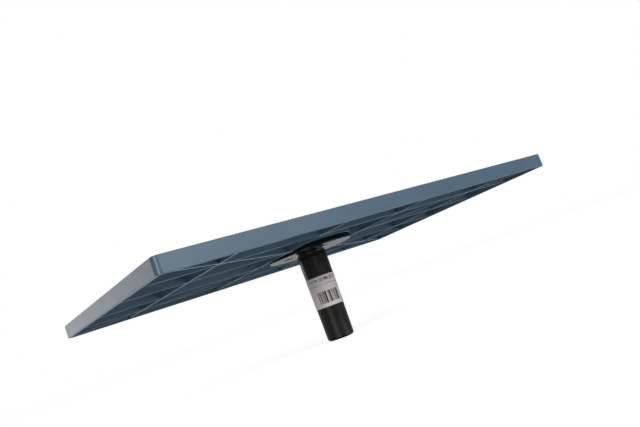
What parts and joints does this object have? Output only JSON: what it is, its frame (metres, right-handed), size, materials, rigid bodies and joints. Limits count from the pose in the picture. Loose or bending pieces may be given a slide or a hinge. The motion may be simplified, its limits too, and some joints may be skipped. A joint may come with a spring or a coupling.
{
  "type": "mortar hawk",
  "caption": "Flat rectangular mortar hawk: ribbed plastic board with a deep rim, round flanged handle and tapered grip sleeve hanging from its centre.",
  "frame": {"origin": "centre of the flat working face", "axes": "+Z out of the working face, +X along the board's long side, handle towards -Z"},
  "size_m": [0.52, 0.35, 0.128],
  "materials": {
    "board_plastic": "satin",
    "black_plastic": "gloss",
    "grip_plastic": "satin",
    "label_paper": "matte",
    "screw_steel": "zinc plated"
  },
  "bodies": {
    "root": {"board": "board_plastic", "handle_core": "black_plastic", "grip_sleeve": "grip_plastic", "grip_label": "label_paper", "flange_screw_1": "screw_steel", "flange_screw_2": "screw_steel", "flange_screw_3": "screw_steel"}
  },
  "joints": []
}
